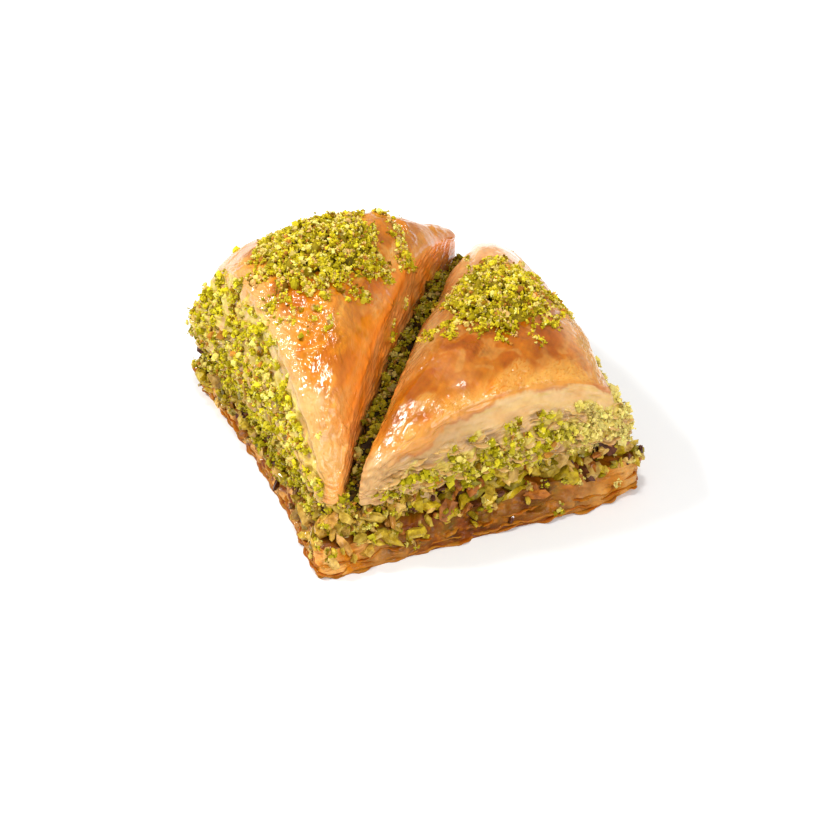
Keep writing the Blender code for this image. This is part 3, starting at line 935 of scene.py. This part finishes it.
def ground_nut(name, spots, sizes, tints, node, rng):
    """Ground pistachio: grains in one piece and, scattered close round them, finer crumbs in another."""
    tints = tints * rng.normal(1.0, 0.16, (len(spots), 1)).clip(0.6, 1.5)
    large = sizes > GRAIN_SIZE
    shapes, faces = pulled_shapes(grain(), spots[large], sizes[large], rng)
    joined(name + "_grains", shapes, faces, tints[large], grain_finish, False, node)
    way = rng.normal(size=(len(spots) * CRUMBS, 3))
    way /= np.linalg.norm(way, axis=1)[:, None]
    far = np.repeat(sizes, CRUMBS) * rng.uniform(0.35, 0.85, len(way))
    places = np.repeat(spots, CRUMBS, axis=0) + way * far[:, None]
    places[:, 2] = places[:, 2].clip(0.2)
    fine = rng.uniform(0.18, 0.42, len(way))
    light = rng.normal(1.06, 0.16, (len(way), 1)).clip(0.6, 1.5)
    places, fine = np.concatenate([places, spots[~large]]), np.concatenate([fine, sizes[~large] * 1.15])
    shades = np.concatenate([np.repeat(tints, CRUMBS, axis=0) * light, tints[~large]])
    shapes, faces = pulled_shapes(diamond(), places, fine, rng)
    joined(name + "_crumbs", shapes, faces, shades, grain_finish, False, node)


# ---------------------------------------------------------------- heaps


def crust_height(half, plan):
    """The crust's height over a place on the plan: top - (top - lip) * reach ^ power, and its relief.

    The lip's height and how far away it is are looked up by the angle round the peak.
    """
    turn = np.arange(720) / 720.0
    high = outline(half["lip"], side_lengths(half["foot"]), turn, TIP_ROUND)
    peak, top, power = np.array(half["dome"][:2]), half["dome"][2], half["dome"][3]
    angle = np.unwrap(np.arctan2(*(high[:, :2] - peak).T[::-1]))
    far = np.linalg.norm(high[:, :2] - peak, axis=1)
    away = plan[..., :2] - peak
    at = angle[0] + (np.arctan2(away[..., 1], away[..., 0]) - angle[0]) % (2.0 * math.pi)
    angle, far = np.append(angle, angle[0] + 2.0 * math.pi), np.append(far, far[0])
    lip = np.interp(at, angle, np.append(high[:, 2], high[0, 2]))
    reach = np.linalg.norm(away, axis=-1) / np.interp(at, angle, far)
    height = top - (top - lip) * reach.clip(0.0, 1.0) ** power
    place = np.concatenate([plan[..., :2], height[..., None]], axis=-1)
    return height + crust_relief(place)


def heap_grid(half, heap, rows, columns):
    """A heap's surface: an uneven oval on the crust, height = thickness * (1 - reach ^ power)."""
    middle_x, middle_y, long, short, slant, thickness = heap
    angle = 2.0 * math.pi * np.arange(columns)[None, :] / columns
    reach = np.linspace(1.0, 0.02, rows)[:, None]
    uneven = 1.0 + 0.08 * np.sin(3.0 * angle + 1.0) + 0.05 * np.sin(7.0 * angle)
    uneven = uneven + 0.03 * np.sin(17.0 * angle)
    along, across = long * uneven * reach * np.cos(angle), short * uneven * reach * np.sin(angle)
    plan = np.zeros((rows, columns, 3))
    plan[..., 0] = middle_x + along * math.cos(slant) - across * math.sin(slant)
    plan[..., 1] = middle_y + along * math.sin(slant) + across * math.cos(slant)
    plan[..., 2] = crust_height(half, plan) + thickness * (1.0 - reach ** HEAP_POWER)
    return plan, reach + 0.0 * plan[..., 0]


def oval(grid, mound):
    """How far each place is from the middle of a slanting oval mound: 1 is its edge."""
    middle_x, middle_y, long, short, slant = mound[:5]
    east, north = grid[..., 0] - middle_x, grid[..., 1] - middle_y
    along = east * math.cos(slant) + north * math.sin(slant)
    across = north * math.cos(slant) - east * math.sin(slant)
    return np.hypot(along / long, across / short)


def heap_piece(name, half, crust, heap, mounds, count, node, seed):
    """A heap of ground pistachio: a lumpy body painted dark in its hollows as shade, with loose grains on
    it and strewn round it.

    The grains come in fours that share a place.  They rise over the heap's oval by its thickness, by
    its hills and hollows and by a random part, and those that lie higher are painted lighter: painted light
    and shade.
    """
    rng = np.random.default_rng(seed)
    grid, reach = heap_grid(half, heap, rows=60, columns=240)
    sunk = grid.copy()
    sunk[..., 2] += heap_lumps(grid, seed) - 0.35 - 1.2 * step(0.70, 1.0, reach)
    # Painted shade: the body is dark between the grains and darker in the heap's hollows
    tint = blend(colour(90, 70, 6), colour(160, 138, 22), step(-0.5, 0.6, heap_lumps(grid, seed)))
    settle(shell(name + "_body", sunk, grain_finish, tint=tint), node, replaces=True)
    place, share = crust
    uneven = 0.16 * ripple(place, 4.0, seed + 3) + 0.10 * ripple(place, 1.6, seed + 4)
    weight = 0.0 * place[..., 0]
    for mound in (heap, *mounds):
        amount = 1.0 if mound is heap else mound[5]
        weight = np.maximum(weight, amount * step(1.10, 0.75, oval(place, mound) + uneven))
    weight = weight + 0.03 * step(1.7, 1.0, oval(place, heap) + uneven)
    bare_strip = np.exp(-(place[..., 0] / 1.1) ** 4) * (half is LEFT)
    weight = weight * (share[..., 0] >= 1.0) * (1.0 - bare_strip)
    spots, out, _ = scattered(place, weight, count // SHARED, rng)
    raised = rng.uniform(0.0, 1.0, len(spots)) ** 1.5
    spread = rng.uniform(0.5, 1.2, len(spots))
    spots, out, raised, spread = (np.repeat(each, SHARED, axis=0) for each in (spots, out, raised, spread))
    inside = 1.0 - oval(spots, heap).clip(0.0, 1.0) ** HEAP_POWER
    spots = spots + along_surface(rng.normal(0.0, 0.36, spots.shape), out) * spread[:, None]
    lumps = heap_lumps(spots, seed)
    spots[:, 2] += inside * (heap[5] * 0.75 + 0.6 * raised + lumps) + 0.12
    count = len(spots)
    sizes = rng.lognormal(math.log(0.43), SIZE_SPREAD, count).clip(SMALLEST, 1.1)
    tints = picked_tints(GRAIN_TINTS, GRAIN_SHARES, count, rng)
    # Painted light and shade: grains high on the hills and raised are lighter, those in the hollows darker
    light = 1.23 + (0.30 * lumps + 0.32 * (raised - 0.4)) * inside
    tints = tints * light[:, None] * np.array([1.0, 0.95, 1.06])
    ground_nut(name, spots, sizes, tints, node, rng)


def heap_lumps(points, seed):
    """The hills and hollows of a heap's top."""
    return 0.30 * ripple(points, 2.8, seed) + 0.16 * ripple(points, 1.3, seed + 1)


# ---------------------------------------------------------------- ground pistachio elsewhere


def grains_on(name, grid, weight, clumps, gather, size, lift, node, seed, shade=1.0):
    """Clumps of ground pistachio on a surface, gathered where the weight is high.  Shade scales their
    tints: painted shade below 1, painted light above 1.
    """
    rng = np.random.default_rng(seed)
    spots, out, thick = scattered(grid, weight, clumps, rng)
    spots = spots + out * (rng.uniform(*lift, clumps) * step(0.1, 0.6, thick))[:, None]
    share = rng.uniform(0.2, 1.0, clumps)
    moves = rng.normal(0.0, 0.55, (clumps * gather, 3)) * np.repeat(share, gather)[:, None]
    spots = np.repeat(spots, gather, axis=0) + along_surface(moves, np.repeat(out, gather, axis=0))
    spots[:, 2] = spots[:, 2].clip(0.35)
    count = len(spots)
    sizes = rng.lognormal(math.log(size), SIZE_SPREAD, count).clip(SMALLEST, 1.3)
    # shade: painted shade below 1 and painted light above 1
    tints = picked_tints(GRAIN_TINTS, GRAIN_SHARES, count, rng) * shade
    dry = step(10.0, 18.0, spots[:, 0]) * step(-4.0, -12.0, spots[:, 1])
    tints = blend(tints, colour(250, 228, 150), 0.7 * dry)
    ground_nut(name, spots, sizes, tints, node, rng)


def nuts_in(name, grid, weight, count, sizes, lift, node, seed):
    """Chopped nuts in a surface, some deep in it and some standing out."""
    rng = np.random.default_rng(seed)
    spots, out, _ = scattered(grid, weight, count, rng)
    spots = spots + out * rng.uniform(*lift, count)[:, None]
    spots[:, 2] = spots[:, 2].clip(0.9)
    size = rng.lognormal(math.log(sizes[0]), sizes[1], count).clip(1.0, 3.4)
    shapes, faces = nut_shapes(spots, size, rng)
    tints = picked_tints(NUT_TINTS, NUT_SHARES, count, rng) * rng.normal(1.05, 0.14, (count, 1))
    near = step(16.0, 6.0, from_spot(spots, *NEAR_CORNER))
    syrupy = (rng.uniform(size=count) < 0.30) * near
    tints = blend(tints, colour(196, 120, 36), 0.55 * syrupy)
    tints = blend(tints, colour(238, 200, 92), 0.4 * near)
    made = joined(name, shapes, faces, tints, nut_finish, True, node)
    made.data.set_sharp_from_angle(angle=SHARP_EDGE)


def cut_filling():
    """Ground pistachio in the cleft: a lumpy strip painted near black as the cleft's shade, with grains
    over the top of it that are darkened as painted shade too.

    Its section is a rounded box, the cosine and sine of the turn to the power 0.6, along a line that
    bows to the left by an arch, 1 - (2t - 1)^2, and it closes at both ends.
    """
    rows, columns = 200, 24
    along = np.linspace(0.0, 1.0, rows)[:, None]
    around = 2.0 * math.pi * np.arange(columns)[None, :] / columns
    end = np.sqrt((1.0 - np.abs(2.0 * along - 1.0) ** 6.0).clip(0.0004))
    arch = 1.0 - (2.0 * along - 1.0) ** 2
    cut = CUT_FAR - CUT_NEAR
    half = (CUT_HALF + CUT_SWELL * arch + 0.25) * end * np.sign(np.cos(around))
    half = half * np.abs(np.cos(around)) ** 0.6
    grid = np.zeros((rows, columns, 3))
    grid[..., :2] = CUT_NEAR + along[..., None] * cut + (CUT_BOW * arch - half)[..., None] * to_right(cut)
    low = seam_height(HIGH_SEAM, grid)
    high = CUT_TOPS[0] + (CUT_TOPS[1] - CUT_TOPS[0]) * along + CUT_RISE * arch
    up = 0.5 + 0.5 * end * np.sign(np.sin(around)) * np.abs(np.sin(around)) ** 0.6
    grid[..., 2] = low + (high - low - 0.4) * up
    top = step(0.6, 0.95, up)
    grid[..., 2] += (0.45 * ripple(grid, 2.6, 71) + 0.15 * ripple(grid, 1.2, 74)) * top
    # Painted shade: the cleft's strip is near black
    tint = blend(colour(30, 16, 2), colour(66, 44, 6), step(-0.5, 1.5, ripple(grid, 1.2, 72)))
    settle(shell("cut_body", grid, grain_finish, tint=tint), "pistachio_in_cut", replaces=True)
    # shade=0.58: painted shade on the grains in the cleft
    grains_on("cut", grid, top + 0.02, clumps=170, gather=9, size=0.55, lift=(-0.2, 0.3),
              node="pistachio_in_cut", seed=73, shade=0.58)


def loose_leaf(name, grid, up, level, reach_out, cleft, tints, seed, finish, node):
    """The edge of one pastry leaf that stands out of a side all the way round.

    At each place round the side it takes the surface at its level, goes outward by a length that
    varies, and droops and ruffles toward its edge.  Its section is a thin closed strip.
    """
    columns = grid.shape[1]
    turn = np.arange(columns) / columns
    circle = paired(np.cos(2 * math.pi * turn), np.sin(2 * math.pi * turn)) * 7.0
    height = level + 0.05 * ripple(circle, 1.6, seed)
    ups = up[UNDER_ROWS:, 0]
    last = int(np.argmax(ups >= 1.0))
    at = np.interp(height.clip(0.02, 0.98), ups[:last + 1], np.arange(last + 1)) + UNDER_ROWS
    low = np.floor(at).astype(int)
    part = (at - low)[:, None]
    place = np.arange(columns)
    root = grid[low, place] * (1.0 - part) + grid[low + 1, place] * part
    out = facing(grid)[low, place].copy()
    out[:, 2] = 0.0
    out /= np.linalg.norm(out, axis=1).clip(1e-6)[:, None]
    length = reach_out * (0.55 + 0.45 * ripple(circle, 0.9, seed + 1))
    if cleft:
        length = length * step(2.0, 4.0, np.abs(cut_distance(root)))
    length = length.clip(-0.5, 1.6 * reach_out)
    ruffle = 0.13 * ripple(circle, 0.8, seed + 2) + 0.05 * ripple(circle, 0.3, seed + 3)
    share_out = np.array([0.0, 0.3, 0.6, 0.85, 1.0, 0.85, 0.6, 0.3, 0.0])
    side = np.array([-1.0, -1.0, -1.0, -1.0, 0.0, 1.0, 1.0, 1.0, 1.0])
    across = (-0.7 + (0.7 + length[:, None]) * share_out)[..., None] * out[:, None]
    strip = root[:, None] + across
    strip[..., 2] += (ruffle[:, None] - 0.15) * share_out ** 2 + 0.07 * side
    strip[..., 2] += (0.05 - strip[..., 2].min(axis=1)).clip(0.0)[:, None]
    strip[..., :2] = strip[..., :2].clip(LOWEST[:2], HIGHEST[:2])
    shade = blend(tints[0], tints[1], mottle(strip, 3.0, seed + 4))
    shade = blend(shade, tints[2], 0.45 * step(0.6, 1.0, share_out))
    strip, shade = strip.transpose(1, 0, 2), shade.transpose(1, 0, 2)
    count = len(share_out)
    faces = grid_faces(count, columns)
    ahead, last_row = (place + 1) % columns, (count - 1) * columns
    close = np.stack([last_row + place, last_row + ahead, ahead, place], axis=1)
    made = solid(name, strip.reshape(-1, 3), [faces, close], finish, True,
                 tint=shade.reshape(-1, 3), wet=np.full(count * columns, 0.6),
                 rough=np.full(count * columns, 0.3))
    settle(made, node)


# ---------------------------------------------------------------- the piece


def dress_filling(grid, rise):
    """Nuts and ground pistachio in the filling: coarse at most sides, finer near the near corner."""
    side = (rise > 0.0) * (rise < 1.0)
    left_face = step(-15.0, -18.0, grid[..., 0]) * step(-16.5, -12.0, grid[..., 1])
    near = step(16.0, 6.0, from_spot(grid, *NEAR_CORNER))
    ledge = step(5.0, 2.5, from_spot(grid, *FILLING_RIM[0][:2])) * (rise >= 1.0)
    nuts_in("chopped_nuts", grid, side * (1.0 - left_face) * (1.0 - 0.6 * near), count=560,
            sizes=(2.25, 0.34), lift=(-0.2, 0.8), node="nut_filling", seed=81)
    nuts_in("small_nuts", grid, side * np.maximum(left_face, near), count=460, sizes=(1.3, 0.30),
            lift=(-0.2, 0.7), node="nut_filling", seed=82)
    nuts_in("ledge_nuts", grid, ledge, count=90, sizes=(1.2, 0.28), lift=(-0.1, 0.5),
            node="nut_filling", seed=84)
    grains_on("filling", grid, 2.0 * ledge + side * (0.08 + 0.55 * left_face + 0.5 * near), clumps=400,
              gather=7, size=0.46, lift=(0.3, 1.2), node="nut_filling", seed=85, shade=1.12)


def dress_base(grid, rise):
    """Nuts and ground pistachio that stick to the base: in patches on its side, and all along its rim."""
    right_end = step(4.0, 18.0, grid[..., 0]) * step(0.0, -10.0, grid[..., 1])
    side = (rise > 0.2) * (rise < 1.0) * step(-0.6, 1.2, ripple(grid, 5.0, 91)) * (1.0 - 0.75 * right_end)
    near = step(22.0, 8.0, from_spot(grid, *NEAR_CORNER)) * step(0.25, 0.6, rise) * (rise < 1.0)
    side = np.maximum(side, near) * step(1.5, 5.0, from_spot(grid, -23.0, -22.0))
    rim = 0.0 * rise
    rim_row = UNDER_ROWS + BASE_SIDE_ROWS
    rim[rim_row - 10:rim_row + 1] = 1.0
    nuts_in("stuck_nuts", grid, 0.75 * side * step(0.0, 0.8, rise) + rim, count=600, sizes=(1.7, 0.32),
            lift=(-0.3, 0.3), node="base_pastry", seed=92)
    grains_on("base", grid, 0.6 * side + rim, clumps=150, gather=7, size=0.5, lift=(-0.1, 0.2),
              node="base_pastry", seed=93)


def leaves_on(name, grid, up, levels, reach_out, cleft, tints, seeds, finish, node):
    """Loose leaf edges round a piece, one at each level, with seeds that go up by an even step."""
    for number, level in enumerate(levels):
        loose_leaf(name + "_leaf_%d" % number, grid, up, level, reach_out, cleft, tints,
                   seeds[0] + seeds[1] * number, finish, node)


base_grid, base_rise = base_piece()
filling_grid, filling_rise = filling_core()
left_grid, left_share, left_strewn = half_piece(
    "left_top", LEFT, "top_pastry_left",
    lambda grid: crust_fold(grid, (2.0, 18.0), (2.6, 5.0), 1.2, 3.0)
    + crust_fold(grid, (-18.3, -18.2), (-14.6, -12.6), 0.55, 1.6, 0.8)
    + crust_fold(grid, (-19.2, -16.0), (-16.0, -9.8), 0.34, 1.2, 0.8),
    lambda grid: (0.0, 0.74 + 0.24 * step(-14.0, 0.0, grid[..., 1]), 1.0, 401))
right_grid, right_share, right_strewn = half_piece(
    "right_top", RIGHT, "top_pastry_right", lambda grid: 0.0 * grid[..., 0],
    lambda grid: (0.0, 0.50 + 0.20 * step(6.0, 18.0, grid[..., 0]), 0.0, 411))

dress_filling(filling_grid, filling_rise)
dress_base(base_grid, base_rise)
leaves_on("base", base_grid, base_rise, (0.03, 0.16, 0.42), 0.45, False, (RUST, TAN, GOLD), (190, 7),
          base_finish, "base_pastry")
leaves_on("left", left_grid, left_share[..., 0], (0.04, 0.16, 0.30, 0.44), 0.45, True,
          (GREEN_LOW, LEAF, PALE), (90, 10), crust_finish, "top_pastry_left")
leaves_on("right", right_grid, right_share[..., 0], (0.04, 0.16, 0.30, 0.44, 0.56), 0.6, True,
          (LEAF, CREAM, PALE), (95, 10), crust_finish, "top_pastry_right")

# Further mounds of each heap: middle, half lengths, slant and how thickly they are strewn
LEFT_MOUNDS = ((2.3, 9.6, 5.6, 1.5, 1.57, 0.9), (-15.0, 13.0, 6.0, 4.0, 0.9, 0.3),
               (-16.0, 4.0, 3.6, 10.0, 0.2, 0.10))
RIGHT_MOUNDS = ((14.0, -9.4, 3.6, 2.4, 0.3, 0.35), (7.0, -10.0, 4.0, 2.0, 0.3, 0.12))
heap_piece("left_heap", LEFT, (left_grid, left_share), HEAP_LEFT, LEFT_MOUNDS, count=3400,
           node="pistachio_heap_left", seed=201)
heap_piece("right_heap", RIGHT, (right_grid, right_share), HEAP_RIGHT, RIGHT_MOUNDS, count=2500,
           node="pistachio_heap_right", seed=301)
cut_filling()
# shade over 1: painted light on the grains on the halves' sides, stronger on the left side
grains_on("left_side", left_grid, left_strewn, clumps=740, gather=8, size=0.50, lift=(-0.1, 0.45),
          node="top_pastry_left", seed=402, shade=1.36)
grains_on("right_side", right_grid, right_strewn, clumps=620, gather=8, size=0.50, lift=(-0.1, 0.45),
          node="top_pastry_right", seed=412, shade=1.10)

# ---------------------------------------------------------------- floor, light and camera

bpy.ops.mesh.primitive_plane_add(size=6.0, location=(0.0, 0.0, 0.0))
floor = bpy.context.object
floor.name = "floor"
floor_finish = Finish("white_floor", Base_Color=(0.90, 0.90, 0.90, 1.0), Roughness=0.9,
                      Specular_IOR_Level=0.0)
floor.data.materials.append(floor_finish.material)


def softbox(name, place, width, height, power):
    """A rectangular studio light, places in metres and power in watts, that faces the piece."""
    lamp = bpy.data.lights.new(name, "AREA")
    lamp.shape, lamp.size, lamp.size_y, lamp.energy = "RECTANGLE", width, height, power
    made = bpy.data.objects.new(name, lamp)
    bpy.context.scene.collection.objects.link(made)
    made.location = place
    made.rotation_euler = (Vector(place) - Vector(LIT_SPOT)).to_track_quat("Z", "Y").to_euler()


LIT_SPOT = (0.0, 0.0, 0.01)
softbox("key", (-0.42, 0.26, 0.54), 0.13, 0.13, 4.4)
softbox("top", (-0.06, -0.12, 0.66), 0.09, 0.09, 1.5)
softbox("fill", (0.10, -0.60, 0.50), 0.6, 0.4, 3.6)
world = bpy.data.worlds.new("studio")
bpy.context.scene.world = world
world.use_nodes = True
world.node_tree.nodes["Background"].inputs["Color"].default_value = (1.0, 1.0, 1.0, 1.0)
world.node_tree.nodes["Background"].inputs["Strength"].default_value = 0.40
bpy.context.scene.view_settings.view_transform = "Standard"

# The camera: its direction, its target and distance in metres, its sensor and focal length in mm
AZIMUTH, ELEVATION = math.radians(-22.8), math.radians(38.0)
TARGET, AWAY = np.array([-0.0038, -0.0096, 0.012]), 0.450
SENSOR_WIDTH, FOCAL_LENGTH = 36.0, 148.87275
lens = bpy.data.cameras.new("camera")
lens.sensor_width, lens.lens, lens.clip_start = SENSOR_WIDTH, FOCAL_LENGTH, 0.01
camera = bpy.data.objects.new("camera", lens)
bpy.context.scene.collection.objects.link(camera)
toward_camera = np.array([math.sin(AZIMUTH) * math.cos(ELEVATION),
                          -math.cos(AZIMUTH) * math.cos(ELEVATION), math.sin(ELEVATION)])
camera.location = TARGET + toward_camera * AWAY
camera.rotation_euler = Vector(toward_camera).to_track_quat("Z", "Y").to_euler()
bpy.context.scene.camera = camera
